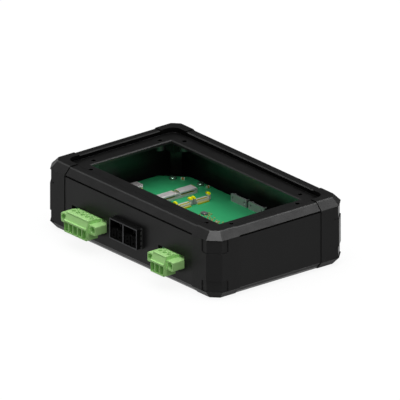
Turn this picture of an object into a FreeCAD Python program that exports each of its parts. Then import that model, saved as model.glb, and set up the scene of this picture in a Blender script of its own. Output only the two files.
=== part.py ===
import FreeCAD, Part
import math
import os

# Stepper driver module. Millimetres.
# Origin: centre of the underside. +X along the long side, +Z up.
# The connectors sit in the long wall on the -Y side.

os.makedirs("parts", exist_ok=True)
V = FreeCAD.Vector
away = 1.0
overlap = 0.2

# Case envelope over the four corner caps
case_length = 146.6
case_width = 94.0
case_height = 38.9
corner_cut = 6.3
top_chamfer_in = 4.05
top_chamfer_drop = 4.35
bottom_chamfer_in = 3.85
bottom_chamfer_rise = 4.3
end_face = case_length / 2
back_face = case_width / 2
front_face = -case_width / 2

# Shells between the caps
shell_step_back = 0.4
shell_top = case_height - 0.5
wall_thickness = 3.0
floor_thickness = 3.0
joint_height = case_height - 4.3
groove_height = 0.95
base_rim_height = joint_height - groove_height
tongue_step = 1.1

# Corner caps
cap_wall = 1.9
cap_roof = 2.0
cap_floor = 1.6
cap_clearance = 0.1
cap_length = 18.6
cap_width = 18.7
seam_x = end_face - cap_length
seam_y = back_face - cap_width
seam_gap = 0.12
pocket_depth = 0.55
pocket_x = end_face - 10.1
pocket_y = back_face - 10.5
pocket_round = 1.2
upper_pocket_low = case_height - 12.2
upper_pocket_high = case_height - 4.4
lower_pocket_low = bottom_chamfer_rise + 0.05
lower_pocket_high = lower_pocket_low + 6.55

# Recess and window of the top frame
rim_width_x = 8.8
rim_width_y = 9.3
recess_half_x = end_face - rim_width_x
recess_half_y = back_face - rim_width_y
recess_corner_radius = 5.0
recess_depth = 2.9
recess_floor = case_height - recess_depth
rim_chamfer_across = 1.0
rim_chamfer_down = 0.35
rim_chamfer_start = 0.5
window_margin_x = 9.3
window_margin_y = 9.7
window_half_x = recess_half_x - window_margin_x
window_half_y = recess_half_y - window_margin_y
window_chamfer = 0.5
plate_thickness = 1.9
plate_underside = recess_floor - plate_thickness
plate_clearance = 0.2
fixing_hole_radius = 1.25
fixing_hole_depth = 4.5
fixing_boss_radius = 2.7
fixing_boss_end = 0.8
side_fixing_x = window_half_x + 3.9
side_fixing_y = window_half_y - 4.9
end_fixing_x = window_half_x - 5.6
end_fixing_y = window_half_y + 4.6
corner_block_x = 8.2
corner_block_y = 8.5
corner_block_drop = 9.8
base_block_top = 9.4

# Snap tabs of the top frame
tab_width = 10.0
tab_thickness = 1.2
tab_low = plate_underside - 4.6
hook_low = tab_low + 0.5
hook_height = 1.2
hook_reach = 0.7
hook_clearance = 0.3
hook_seat_gap = 0.05
tab_x = 30.0

# Main board
board_top = 12.0
board_thickness = 1.6
board_half_x = end_face - 7.1
board_back = back_face - 7.0
board_front = front_face + 3.8
board_corner_cut = 12.5
board_corner_round = 3.0
board_hole_radius = 1.5
standoff_radius = 3.0
screw_radius = 1.2
screw_length = 6.5
screw_play = 0.06
screw_tip_gap = 0.4
screw_head_round = 0.8
screw_cross_half = 1.2
screw_cross_width = 0.5
screw_cross_depth = 0.8
screw_head_radius = 2.0
screw_head_height = 1.4
corner_screw_x = board_half_x - 9.0
corner_screw_y = board_back - 9.3
back_screw_x = corner_screw_x - 16.1
back_screw_y = board_back - 3.0

# Pluggable terminal blocks
pitch = 3.81
motor_poles = 5
power_poles = 3
signal_half_x = 11.75
bay_centre = (seam_x + signal_half_x) / 2
motor_centre = -bay_centre - 0.175
power_centre = bay_centre + 3.825
pin_height = board_top + 2.9
pin_size = 0.8
pin_play = 0.05
header_set_back = 0.5
header_depth = 9.2
header_front = front_face + header_set_back
header_back = header_front + header_depth
header_wall = 2.0
header_top = board_top + 6.9
header_roof = 0.6
header_floor = 0.85
header_side = 0.8
flange_low = board_top + 0.1
flange_high = board_top + 5.4
flange_width_extra = 14.2
header_side_step = 0.5
flange_screw_extra = 9.2
nut_radius = 1.75
nut_length = 4.3
nut_set_back = 0.2
nut_hole_radius = 1.25
flange_screw_engagement = 3.4
flange_screw_end_gap = 0.03
nut_mouth_radius = 1.6
nut_relief_radius = 1.5
nut_relief_length = 1.2
leg_radius = 0.65
leg_length = 1.6
header_leg_inset = 0.9
header_ear_inset = 1.0
header_tine_inset = 1.4
pin_taper = 0.2
flange_screw_play = 0.05
cutout_left_play = 1.15
cutout_right_play = 0.3
cutout_low = board_top - 0.2
cutout_high = header_top + 0.3

plug_gap = 0.1
plug_side_trim = 0.4
plug_front = front_face - 9.9
plug_top_front = plug_front + 2.0
plug_back = header_front - 2.2
plug_top = header_top + 0.6
plug_back_ridge = header_top
plug_ridge_bevel = 0.2
plug_bottom = board_top - 3.9
plug_bottom_ease = 0.3
plug_edge_round = 0.3
plug_skirt_back = header_front - 1.9
plug_brow_height = 0.55
plug_brow_reach = 0.75
plug_brow_slot = 0.3
plug_panel_set_back = 0.1
plug_lip = board_top + 2.75
plug_lip_rise = 0.55
plug_lip_root = 0.5
plug_lip_top = 0.4
plug_lip_reach = 0.35
plug_lip_height = 0.4
plug_lip_under = 0.75
plug_hook_low = board_top - 2.7
plug_hook_high = board_top - 2.0
plug_hook_reach = 0.5
foot_inset = 1.0
foot_drop = 0.35
nose_taper = 0.4
plug_flange_front = plug_front + 2.25
flange_round = 0.7
nose_play = 0.12
nose_side_step = 0.55
nose_back_gap = 0.3
entry_width = 3.25
entry_low = plug_bottom + 0.6
entry_high = plug_lip - 0.85
chamber_front = plug_front + 3.5
chamber_back = plug_front + 7.5
cage_roof_gap = 0.1
clamp_axis = plug_front + 5.55
clamp_mouth_radius = 1.3
clamp_head_radius = 1.5
clamp_head_sink = 1.25
clamp_head_height = 1.0
clamp_head_high = plug_top - clamp_head_sink
clamp_head_low = clamp_head_high - clamp_head_height
clamp_play = 0.08
clamp_shank_radius = 0.9
clamp_thread_play = 0.05
clamp_tip_gap = 0.05
clamp_slot = 0.5
clamp_slot_depth = 0.6
cage_side_play = 0.1
cage_floor_gap = 0.15
cage_sheet = 0.4
cage_top_sheet = 0.8
cage_top = board_top + 3.4
cage_travel = 1.6
contact_bay_half = 1.35
contact_bay_low = board_top + 1.65
contact_bay_high = board_top + 4.05
bar_low = contact_bay_low + 0.05
bar_sheet = 0.6
bar_side_gap = 0.1
leaf_sheet = 0.3
leaf_end_gap = 0.8
bar_front_gap = 0.3
contact_web_front = 0.4
contact_web_back = 0.9
coding_notch_width = 1.1
coding_notch_length = 1.2
coding_notch_depth = 0.8
coding_notch_y = plug_back - 1.0
counterbore_radius = 2.0
flange_hole_radius = 1.4
flange_head_radius = 1.85
flange_head_length = 1.5
flange_slot = 0.6
flange_slot_depth = 0.7
flange_seat = plug_flange_front + 6.25

# Signal connector
signal_cutout_play = 0.15
signal_top = board_top + 12.3
signal_front = front_face - 3.5
signal_back = header_front + 8.0
signal_nose_low = board_top + 0.5
signal_nose_round = 0.35
collar_front = front_face - 0.95
collar_wall_gap = 0.05
collar_step = 0.2
collar_notches = 7
collar_notch = 1.6
collar_notch_length = 0.9
collar_notch_pitch = 3.3
side_notch_half = 0.45
side_notches = 4
side_notch_first = 2.3
side_notch_pitch = 2.97
signal_rim = 0.6
signal_divider = 0.9
signal_cell_low = signal_nose_low + 0.6
lever_width = 4.5
lever_side_gap = 0.15
lever_low = signal_cell_low + 0.12
lever_high = lever_low + 5.9
lever_slant = 0.9
lever_slant_start = lever_high - 1.3
lever_toe = 0.3
web_front_inset = 1.0
web_rise = 0.3
wire_web_inset = 3.0
lever_front = signal_front + 0.45
lever_back = signal_front + 4.9
lever_press = 1.2
lever_end_gap = 0.4
web_thickness = 0.5
test_hole_radius = 0.5
test_hole_z = lever_low + 4.1
ring_z = lever_low + 1.9
ring_radius = 1.35
ring_bore = 0.75
ring_proud = 0.1
ring_bore_depth = 0.75
test_hole_depth = 2.6
signal_pin = 0.8
signal_pin_play = 0.05
signal_pin_height = board_top + 9.0
signal_leg_inset = 1.6
jaw_half = 1.3
jaw_depth = 0.9
jaw_back_gap = 0.05
jaw_sheet = 0.45
jaw_rim = 0.45
jaw_low = signal_pin_height - 1.3
jaw_high = signal_pin_height + 1.9

# Card sockets and latches
tall_front = -33.3
tall_depth = 5.1
tall_height = 3.6
tall_length = 11.4
tall_left_centre = 8.4
tall_right_centre = 21.9
tall_slot_low = 1.35
tall_slot_high = 2.3
tall_slot_depth = 3.2
tall_slot_end = 0.9
tall_top_ease = 0.5
tall_corner_round = 0.7
tall_groove_first = 1.5
tall_groove_pitch = 1.2
tall_groove_width = 0.32
tall_groove_depth = 0.6
tall_groove_end = 0.5
tall_end_cut = 0.25
tall_end_cut_depth = 0.4
tall_end_back = 0.7
tall_end_front = 0.9
tall_ear_reach = 0.95
tall_ear_front = 0.2
tall_ear_length = 1.4
tall_ear_height = 2.6
tall_ear_foot = 0.9
tall_ear_inset = 0.4
tall_strip_inset = 0.05
tall_strip_sheet = 0.22
tall_strip_proud = 0.12
tall_contact_front = 0.15
tall_contact_length = 2.85
tall_contact_sheet = 0.2
low_front = -20.6
low_depth = 3.0
low_height = 2.0
low_length = 8.7
low_left_centre = 9.4
low_right_centre = 21.9
low_top_ease = 0.3
low_trough_front = 0.25
low_trough_length = 1.35
low_trough_end = 0.3
low_trough_depth = 0.3
low_contact_width = 0.61
low_contact_inset = 0.05
low_tail_length = 1.2
low_tail_sheet = 0.3
latch_spacing = 10.3
latch_width = 1.3
latch_x = low_front - 0.85
latch_pivot_rise = 0.6
latch_height = 4.2
latch_head_length = 2.6
latch_foot_radius = 0.5
latch_front_reach = 0.55
latch_nose_drop = 0.9
latch_nose_set_back = 0.6
latch_beak_slope = 0.6
latch_beak_drop = 0.8
latch_head_height = 1.4
latch_throat = 0.5
contact_pitch = 0.8
contact_width = 0.45
side_socket_x = -(board_half_x - 3.0)
side_socket_depth = 7.2
side_socket_back = 9.9
side_socket_length = 11.0
side_socket_height = 2.2
side_top_ease = 0.5
side_corner_ease = 1.2
side_groove_first = 1.8
side_groove_pitch = 1.6
side_groove_width = 0.4
side_groove_end = 0.8
side_groove_depth = 0.6
side_contacts = 9
side_contact_first = 1.6
side_contact_pitch = 1.0
side_contact_width = 0.5
side_contact_length = 0.8
side_contact_sheet = 0.35

# Shield plates
plate_y = board_back - 4.8
plate_sheet = 0.9
plate_length = 13.3
plate_height = 4.5
plate_corner = 0.5
plate_starts = [-13.0, 2.0]
plate_hole_radius = 0.6
plate_hole_rise = 2.3
plate_hole_inset = 1.9
plate_foot_inset = 0.8
plate_foot_length = 1.7
plate_foot_sheet = 0.5
plate_lip_drop = 0.9
plate_lip_sheet = 0.5
plate_lips = [(1.0, 1.2, 1.5), (2.6, 1.0, 0.9), (11.9, 0.8, 1.9)]

# Small board parts
chip_x = -7.1
chip_y = 11.95
chip_length = 3.8
chip_width = 2.9
chip_stand_off = 0.12
chip_thickness = 0.93
chip_corner_round = 0.6
chip_top_ease = 0.15
capacitor_length = 2.0
capacitor_width = 1.25
capacitor_height = 1.25
output_capacitor_height = 0.9
passive_length = 1.05
passive_width = 0.55
passive_height = 0.4
layout_grid = 0.1


def box(x0, x1, y0, y1, z0, z1):
    low = V(min(x0, x1), min(y0, y1), min(z0, z1))
    return Part.makeBox(abs(x1 - x0), abs(y1 - y0), abs(z1 - z0), low)


def rod_z(x, y, z0, z1, radius):
    return Part.makeCylinder(radius, z1 - z0, V(x, y, z0), V(0, 0, 1))


def rod_y(x, z, y0, y1, radius):
    return Part.makeCylinder(radius, y1 - y0, V(x, y0, z), V(0, 1, 0))


def sheet(points):
    return Part.Face(Part.makePolygon(points + [points[0]]))


def prism_z(points, z0, z1):
    face = sheet([V(x, y, z0) for x, y in points])
    return face.extrude(V(0, 0, z1 - z0))


def prism_x(points, x0, x1):
    face = sheet([V(x0, y, z) for y, z in points])
    return face.extrude(V(x1 - x0, 0, 0))


def prism_y(points, y0, y1):
    face = sheet([V(x, y0, z) for x, z in points])
    return face.extrude(V(0, y1 - y0, 0))


def joined(shapes):
    first = shapes[0]
    if len(shapes) == 1:
        return first
    return first.fuse(shapes[1:]).removeSplitter()


def without(shape, shapes):
    return shape.cut(shapes).removeSplitter()


def edges_along(shape, axis, keep):
    found = []
    for edge in shape.Edges:
        if len(edge.Vertexes) != 2:
            continue
        a = edge.Vertexes[0].Point
        b = edge.Vertexes[1].Point
        way = b.sub(a)
        if way.Length < 1e-6:
            continue
        way.normalize()
        if abs(abs(way.dot(axis)) - 1.0) > 1e-6:
            continue
        middle = a.add(b).multiply(0.5)
        if keep(middle):
            found.append(edge)
    return found


def everywhere(point):
    return True


def rounded(shape, radius, axis, keep=everywhere):
    return shape.makeFillet(radius, edges_along(shape, axis, keep))


def eased(shape, size, axis, keep=everywhere):
    return shape.makeChamfer(size, edges_along(shape, axis, keep))


def stack(rings):
    faces = [sheet(list(reversed(rings[0]))), sheet(rings[-1])]
    for low, high in zip(rings[:-1], rings[1:]):
        count = len(low)
        for i in range(count):
            j = (i + 1) % count
            faces.append(sheet([low[i], low[j], high[j], high[i]]))
    return Part.makeSolid(Part.makeShell(faces))


def octagon(half_x, half_y, cut, z):
    x = half_x
    y = half_y
    points = [(x - cut, -y), (x, -y + cut), (x, y - cut), (x - cut, y)]
    points += [(-x + cut, y), (-x, y - cut), (-x, -y + cut), (-x + cut, -y)]
    return [V(px, py, z) for px, py in points]


def rectangle(half_x, half_y, z):
    x = half_x
    y = half_y
    return [V(x, -y, z), V(x, y, z), V(-x, y, z), V(-x, -y, z)]


def inset_ring(inset, z):
    cut = corner_cut - (2.0 - math.sqrt(2.0)) * inset
    return octagon(case_length / 2 - inset, case_width / 2 - inset, cut, z)


def envelope(shrink, z_low, z_high):
    top_slope = top_chamfer_drop / top_chamfer_in
    top_shift = shrink * math.sqrt(1.0 + top_slope ** 2)
    top_start = case_height - top_chamfer_drop + top_slope * shrink - top_shift
    top_inset = (z_high - case_height + top_chamfer_drop + top_shift) / top_slope
    low_slope = bottom_chamfer_rise / bottom_chamfer_in
    low_shift = shrink * math.sqrt(1.0 + low_slope ** 2)
    low_start = bottom_chamfer_rise - low_slope * shrink + low_shift
    low_inset = (bottom_chamfer_rise + low_shift - z_low) / low_slope
    rings = [inset_ring(low_inset, z_low), inset_ring(shrink, low_start)]
    rings += [inset_ring(shrink, top_start), inset_ring(top_inset, z_high)]
    return stack(rings)


def upright(inset, z0, z1):
    return stack([inset_ring(inset, z0), inset_ring(inset, z1)])


def rounded_block(half_x, half_y, radius, z0, z1):
    block = box(-half_x, half_x, -half_y, half_y, z0, z1)
    return rounded(block, radius, V(0, 0, 1))


def save(name, solids):
    shape = solids[0] if len(solids) == 1 else Part.makeCompound(solids)
    shape.exportStep("parts/" + name + ".step")
    print(name, len(shape.Solids), round(shape.Volume, 2), shape.isValid())


# Case
shell = envelope(shell_step_back, 0.0, shell_top)
core_inset = cap_wall + cap_clearance
core = envelope(core_inset, cap_floor + cap_clearance, case_height - cap_roof - cap_clearance)
zone = box(seam_x, case_length, seam_y, case_width, -away, case_height + away)
corner_waste = []
for side_x in (1, -1):
    for side_y in (1, -1):
        part_zone = zone
        if side_x < 0:
            part_zone = part_zone.mirror(V(0, 0, 0), V(1, 0, 0))
        if side_y < 0:
            part_zone = part_zone.mirror(V(0, 0, 0), V(0, 1, 0))
        corner_waste.append(part_zone.cut(core))

inner_inset = shell_step_back + wall_thickness
inner_x = case_length / 2 - inner_inset
inner_y = case_width / 2 - inner_inset
outer_x = case_length / 2 - shell_step_back
outer_y = case_width / 2 - shell_step_back
cavity = upright(inner_inset, floor_thickness, case_height + away)
base = shell.common(box(-outer_x, outer_x, -outer_y, outer_y, 0, base_rim_height))
tongue = upright(shell_step_back + tongue_step, base_rim_height - away, joint_height)
base = without(joined([base, tongue]), [cavity])
base = without(base, corner_waste)


def half_width(poles):
    return ((poles - 1) * pitch + flange_width_extra) / 2


blocks = [("motor", motor_centre, motor_poles), ("power", power_centre, power_poles)]
cutouts = []
for label, centre, poles in blocks:
    reach = half_width(poles) - header_side_step
    cutouts.append(box(centre - reach - cutout_left_play, centre + reach + cutout_right_play,
                       -outer_y - away, -inner_y + away, cutout_low, cutout_high))
signal_reach = signal_half_x + signal_cutout_play
cutouts.append(box(-signal_reach, signal_reach, -outer_y - away, -inner_y + away,
                   board_top, signal_top + signal_cutout_play))
base = without(base, cutouts)

screw_places = []
for side_x in (1, -1):
    screw_places.append((side_x * corner_screw_x, corner_screw_y))
    screw_places.append((side_x * corner_screw_x, -corner_screw_y))
    screw_places.append((side_x * back_screw_x, back_screw_y))
board_underside = board_top - board_thickness
standoffs = []
standoff_holes = []
screw_tip = board_top - screw_length
for x, y in screw_places:
    standoffs.append(rod_z(x, y, floor_thickness - overlap, board_underside, standoff_radius))
    standoff_holes.append(rod_z(x, y, screw_tip - screw_tip_gap, board_underside + away,
                                screw_radius + screw_play))
block_zone = upright(inner_inset - overlap, floor_thickness - overlap, base_block_top)
base_blocks = []
for side_x in (1, -1):
    for side_y in (1, -1):
        block = box(side_x * (inner_x - corner_block_x), side_x * outer_x,
                    side_y * (inner_y - corner_block_y), side_y * outer_y,
                    floor_thickness - overlap, base_block_top)
        base_blocks.append(block.common(block_zone).common(core))
base = without(joined([base] + standoffs + base_blocks), standoff_holes)

tabs = []
hook_pockets = []
tab_face = inner_y - plate_clearance
tab_spots = [(tab_x, 1), (-tab_x, 1), (tab_x, -1), (-tab_x, -1)]
for x, side in tab_spots:
    tabs.append(box(x - tab_width / 2, x + tab_width / 2, side * (tab_face - tab_thickness),
                    side * tab_face, tab_low, plate_underside + overlap))
    tabs.append(box(x - tab_width / 2, x + tab_width / 2, side * (tab_face - tab_thickness),
                    side * (tab_face + hook_reach), hook_low, hook_low + hook_height))
    hook_pockets.append(box(x - tab_width / 2 - hook_clearance, x + tab_width / 2 + hook_clearance,
                            side * (inner_y - away), side * (tab_face + hook_reach + hook_clearance),
                            hook_low - hook_clearance, hook_low + hook_height + hook_seat_gap))
tab_end = inner_x - plate_clearance
for side in (1, -1):
    tabs.append(box(side * (tab_end - tab_thickness), side * tab_end, -tab_width / 2,
                    tab_width / 2, tab_low, plate_underside + overlap))
    tabs.append(box(side * (tab_end - tab_thickness), side * (tab_end + hook_reach),
                    -tab_width / 2, tab_width / 2, hook_low, hook_low + hook_height))
    hook_pockets.append(box(side * (inner_x - away), side * (tab_end + hook_reach + hook_clearance),
                            -tab_width / 2 - hook_clearance, tab_width / 2 + hook_clearance,
                            hook_low - hook_clearance, hook_low + hook_height + hook_seat_gap))
base = without(base, hook_pockets)
save("base_shell", [base])

frame = shell.common(box(-outer_x, outer_x, -outer_y, outer_y, joint_height, case_height))
plate = upright(inner_inset + plate_clearance, plate_underside, joint_height + overlap)
fixing_places = []
for side_x in (1, -1):
    for side_y in (1, -1):
        fixing_places.append((side_x * side_fixing_x, side_y * side_fixing_y))
        fixing_places.append((side_x * end_fixing_x, side_y * end_fixing_y))
boss_low = recess_floor - fixing_hole_depth - fixing_boss_end
bosses = [rod_z(x, y, boss_low, plate_underside + overlap, fixing_boss_radius)
          for x, y in fixing_places]
block_low = plate_underside - corner_block_drop
block_zone = upright(inner_inset + plate_clearance, block_low, plate_underside + overlap)
corner_blocks = []
for side_x in (1, -1):
    for side_y in (1, -1):
        block = box(side_x * (inner_x - corner_block_x), side_x * inner_x,
                    side_y * (inner_y - corner_block_y), side_y * inner_y,
                    block_low, plate_underside + overlap)
        corner_blocks.append(block.common(block_zone))
frame = joined([frame, plate] + bosses + corner_blocks + tabs)
recess = rounded_block(recess_half_x, recess_half_y, recess_corner_radius,
                       recess_floor, case_height + away)
window = box(-window_half_x, window_half_x, -window_half_y, window_half_y,
             plate_underside - away, recess_floor + away)
window_edge = stack([rectangle(window_half_x - overlap, window_half_y - overlap,
                               recess_floor - window_chamfer - overlap),
                     rectangle(window_half_x + window_chamfer + overlap,
                               window_half_y + window_chamfer + overlap,
                               recess_floor + overlap)])
fixing_holes = [rod_z(x, y, recess_floor - fixing_hole_depth, recess_floor + away,
                      fixing_hole_radius) for x, y in fixing_places]
rim_cuts = []
lip = rim_chamfer_down / rim_chamfer_across
for side in (1, -1):
    low_z = shell_top - rim_chamfer_down
    wedge = [(recess_half_y - rim_chamfer_start, low_z - rim_chamfer_start * lip),
             (recess_half_y + rim_chamfer_across + away, shell_top + away * lip),
             (recess_half_y - rim_chamfer_start, shell_top + away * lip)]
    wedge = [(side * y, z) for y, z in wedge]
    rim_cuts.append(prism_x(wedge, -seam_x - away, seam_x + away))
    wedge = [(recess_half_x - rim_chamfer_start, low_z - rim_chamfer_start * lip),
             (recess_half_x + rim_chamfer_across + away, shell_top + away * lip),
             (recess_half_x - rim_chamfer_start, shell_top + away * lip)]
    wedge = [(side * x, z) for x, z in wedge]
    rim_cuts.append(prism_y(wedge, -seam_y - away, seam_y + away))
frame = without(frame, [recess, window, window_edge] + fixing_holes)
frame = without(frame, rim_cuts)
frame = without(frame, corner_waste)
save("top_frame", [frame])

# Corner caps
cap_zone = box(seam_x + seam_gap, case_length, seam_y + seam_gap, case_width,
               -away, case_height + away)
cap = envelope(0.0, 0.0, case_height).common(cap_zone)
cap = cap.cut(envelope(cap_wall, cap_floor, case_height - cap_roof))
cap = cap.cut(recess)
pocket_ring = upright(-away, lower_pocket_low, upper_pocket_high)
pocket_ring = pocket_ring.cut(upright(pocket_depth, 0, case_height))
for z0, z1, round_z in ((upper_pocket_low, upper_pocket_high, upper_pocket_low),
                        (lower_pocket_low, lower_pocket_high, lower_pocket_high)):
    along_x = box(pocket_x, case_length, 0, case_width, z0, z1)
    along_x = rounded(along_x, pocket_round, V(0, 1, 0),
                      lambda p: abs(p.x - pocket_x) < 0.01 and abs(p.z - round_z) < 0.01)
    along_y = box(0, case_length, pocket_y, case_width, z0, z1)
    along_y = rounded(along_y, pocket_round, V(1, 0, 0),
                      lambda p: abs(p.y - pocket_y) < 0.01 and abs(p.z - round_z) < 0.01)
    cap = cap.cut(pocket_ring.common(along_x).common(along_y))
cap = cap.removeSplitter()
mirror_x = cap.mirror(V(0, 0, 0), V(1, 0, 0))
save("corner_cap_back_right", [cap])
save("corner_cap_back_left", [mirror_x])
save("corner_cap_front_right", [cap.mirror(V(0, 0, 0), V(0, 1, 0))])
save("corner_cap_front_left", [mirror_x.mirror(V(0, 0, 0), V(0, 1, 0))])

# Board
bx = board_half_x
bc = board_corner_cut
outline = [(bx - bc, board_front), (bx, board_front + bc), (bx, board_back - bc)]
outline += [(bx - bc, board_back), (-bx + bc, board_back), (-bx, board_back - bc)]
outline += [(-bx, board_front + bc), (-bx + bc, board_front)]
board = prism_z(outline, board_underside, board_top)
board = rounded(board, board_corner_round, V(0, 0, 1))
board_holes = [rod_z(x, y, board_underside - away, board_top + away, board_hole_radius)
               for x, y in screw_places]
leg_y = header_back + header_leg_inset
for label, centre, poles in blocks:
    for i in range(poles):
        x = centre + (i - (poles - 1) / 2) * pitch
        board_holes.append(rod_z(x, leg_y, board_underside - away, board_top + away, leg_radius))
cell_in = signal_divider / 2
cell_out = signal_half_x - signal_rim
cell_middle = (cell_in + cell_out) / 2
lever_pitch = lever_width + web_thickness + 2 * lever_side_gap
lever_places = [side * cell_middle + k * lever_pitch / 2 for side in (-1, 1) for k in (-1, 1)]
signal_leg_y = signal_back + signal_leg_inset
for x in lever_places:
    board_holes.append(rod_z(x, signal_leg_y, board_underside - away, board_top + away, leg_radius))
board = board.cut(board_holes)
save("main_board", [board])

screws = []
for x, y in screw_places:
    head = rod_z(x, y, board_top, board_top + screw_head_height, screw_head_radius)
    rim = [e for e in head.Edges if e.BoundBox.ZMin > board_top + away / 2]
    head = head.makeFillet(screw_head_round, rim)
    shank = rod_z(x, y, screw_tip, board_top + overlap, screw_radius)
    top = board_top + screw_head_height
    long_half = screw_cross_half
    half = screw_cross_width / 2
    cross = [box(x - long_half, x + long_half, y - half, y + half,
                 top - screw_cross_depth, top + away),
             box(x - half, x + half, y - long_half, y + long_half,
                 top - screw_cross_depth, top + away)]
    screws.append(without(joined([head, shank]), cross))
save("board_screws", screws)

# Pluggable terminal blocks
pins = []
nuts = []
cavity_back = header_back - header_wall
nose_low = board_top + header_floor + nose_play
nose_high = header_top - header_roof - nose_play
seat_y = header_front - plug_gap


def spots(centre, poles):
    return [centre + (i - (poles - 1) / 2) * pitch for i in range(poles)]


def flange_spots(centre, poles):
    reach = ((poles - 1) * pitch + flange_screw_extra) / 2
    return [centre - reach, centre + reach]


def nose_half(poles):
    return poles * pitch / 2 - nose_side_step


def make_header(centre, poles):
    reach = half_width(poles) - header_side_step
    inside = nose_half(poles) + nose_play
    shroud = inside + header_side
    body = box(centre - shroud, centre + shroud, header_front, header_back, board_top, header_top)
    ears = box(centre - reach, centre + reach, header_front, header_back - header_ear_inset,
               board_top, flange_high)
    ears = rounded(ears, flange_round, V(0, 1, 0), lambda p: p.z > board_top + 1)
    waste = [box(centre - inside, centre + inside, header_front - away, cavity_back,
                 board_top + header_floor, header_top - header_roof)]
    half_pin = pin_size / 2 + pin_play
    for x in spots(centre, poles):
        waste.append(box(x - half_pin, x + half_pin, cavity_back - away, header_back + away,
                         pin_height - half_pin, pin_height + half_pin))
    for x in flange_spots(centre, poles):
        start = header_front + nut_set_back
        waste.append(rod_y(x, pin_height, header_front - away, start, nut_mouth_radius))
        waste.append(rod_y(x, pin_height, start, start + nut_length, nut_radius))
        waste.append(rod_y(x, pin_height, start, start + nut_length + nut_relief_length,
                           nut_relief_radius))
    return without(joined([body, ears]), waste)


for label, centre, poles in blocks:
    save(label + "_header_housing", [make_header(centre, poles)])
    half_pin = pin_size / 2
    for x in spots(centre, poles):
        tine = box(x - half_pin, x + half_pin, header_front + header_tine_inset, leg_y + half_pin,
                   pin_height - half_pin, pin_height + half_pin)
        tine = eased(tine, pin_taper, V(1, 0, 0), lambda p: p.y < header_front + header_tine_inset + 0.1)
        leg = box(x - half_pin, x + half_pin, leg_y - half_pin, leg_y + half_pin,
                  board_underside - leg_length, pin_height + half_pin)
        pins.append(joined([tine, leg]))
    for x in flange_spots(centre, poles):
        start = header_front + nut_set_back
        nut = rod_y(x, pin_height, start, start + nut_length, nut_radius)
        nuts.append(nut.cut(rod_y(x, pin_height, start - away, start + nut_length + away,
                                  nut_hole_radius)))
save("header_pins", pins)
save("header_flange_nuts", nuts)

chamber_high = cage_top + cage_travel + cage_roof_gap
bar_half = entry_width / 2 - cage_side_play - cage_sheet - bar_side_gap


def make_plug(centre, poles):
    body_half = (poles * pitch - plug_side_trim) / 2
    brow = plug_top_front - plug_edge_round
    brow_low = plug_top - plug_brow_height
    slot_low = brow_low - plug_brow_slot
    lip_front = plug_front - plug_lip_reach
    hook_back = plug_skirt_back + plug_hook_reach
    ridge_front = seat_y - plug_ridge_bevel
    profile = [(plug_back, plug_top), (plug_top_front, plug_top)]
    profile += [(brow, plug_top - plug_edge_round), (brow, brow_low)]
    profile += [(brow + plug_brow_reach, brow_low), (brow + plug_brow_reach, slot_low)]
    profile += [(brow + plug_panel_set_back, slot_low)]
    profile += [(plug_front + plug_lip_root, plug_lip + plug_lip_rise)]
    profile += [(lip_front, plug_lip + plug_lip_top), (lip_front, plug_lip - plug_lip_height)]
    profile += [(plug_front, plug_lip - plug_lip_under), (plug_front, plug_bottom + plug_bottom_ease)]
    profile += [(plug_front + plug_bottom_ease, plug_bottom), (plug_skirt_back, plug_bottom)]
    profile += [(plug_skirt_back, plug_hook_low), (hook_back, plug_hook_high)]
    profile += [(hook_back, flange_low), (seat_y, flange_low)]
    profile += [(seat_y, plug_back_ridge - plug_ridge_bevel), (ridge_front, plug_back_ridge)]
    profile += [(plug_back, plug_back_ridge)]
    body = prism_x(profile, centre - body_half, centre + body_half)
    reach = half_width(poles)
    ears = box(centre - reach, centre + reach, plug_flange_front, seat_y, flange_low, flange_high)
    ears = rounded(ears, flange_round, V(0, 1, 0))
    feet = box(centre - reach + foot_inset, centre + reach - foot_inset, plug_skirt_back, seat_y,
               flange_low - foot_drop, flange_low + overlap)
    inside = nose_half(poles)
    tip = cavity_back - nose_back_gap
    nose = box(centre - inside, centre + inside, seat_y - overlap, tip, nose_low, nose_high)
    nose = eased(nose, nose_taper, V(1, 0, 0), lambda p: p.y > tip - 0.1)
    solid = joined([body, ears, feet, nose])
    waste = []
    for x in spots(centre, poles):
        half = entry_width / 2
        waste.append(box(x - half, x + half, plug_front - away, chamber_front + 0.1,
                         entry_low, entry_high))
        waste.append(box(x - half, x + half, chamber_front, chamber_back, entry_low, chamber_high))
        waste.append(rod_z(x, clamp_axis, chamber_high - 0.1, clamp_head_high + 0.1,
                           clamp_head_radius + clamp_play))
        waste.append(rod_z(x, clamp_axis, clamp_head_high, plug_top + away, clamp_mouth_radius))
        waste.append(box(x - contact_bay_half, x + contact_bay_half, chamber_back - 0.1,
                         tip + away, contact_bay_low, contact_bay_high))
    for i in range(poles + 1):
        x = centre + (i - poles / 2) * pitch
        half = coding_notch_width / 2
        waste.append(box(x - half, x + half, coding_notch_y - coding_notch_length / 2,
                         coding_notch_y + coding_notch_length / 2,
                         plug_top - coding_notch_depth, plug_top + away))
    for x in flange_spots(centre, poles):
        waste.append(rod_y(x, pin_height, plug_flange_front - away, flange_seat,
                           counterbore_radius))
        waste.append(rod_y(x, pin_height, flange_seat - away, seat_y + away, flange_hole_radius))
    return without(solid, waste)


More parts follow.
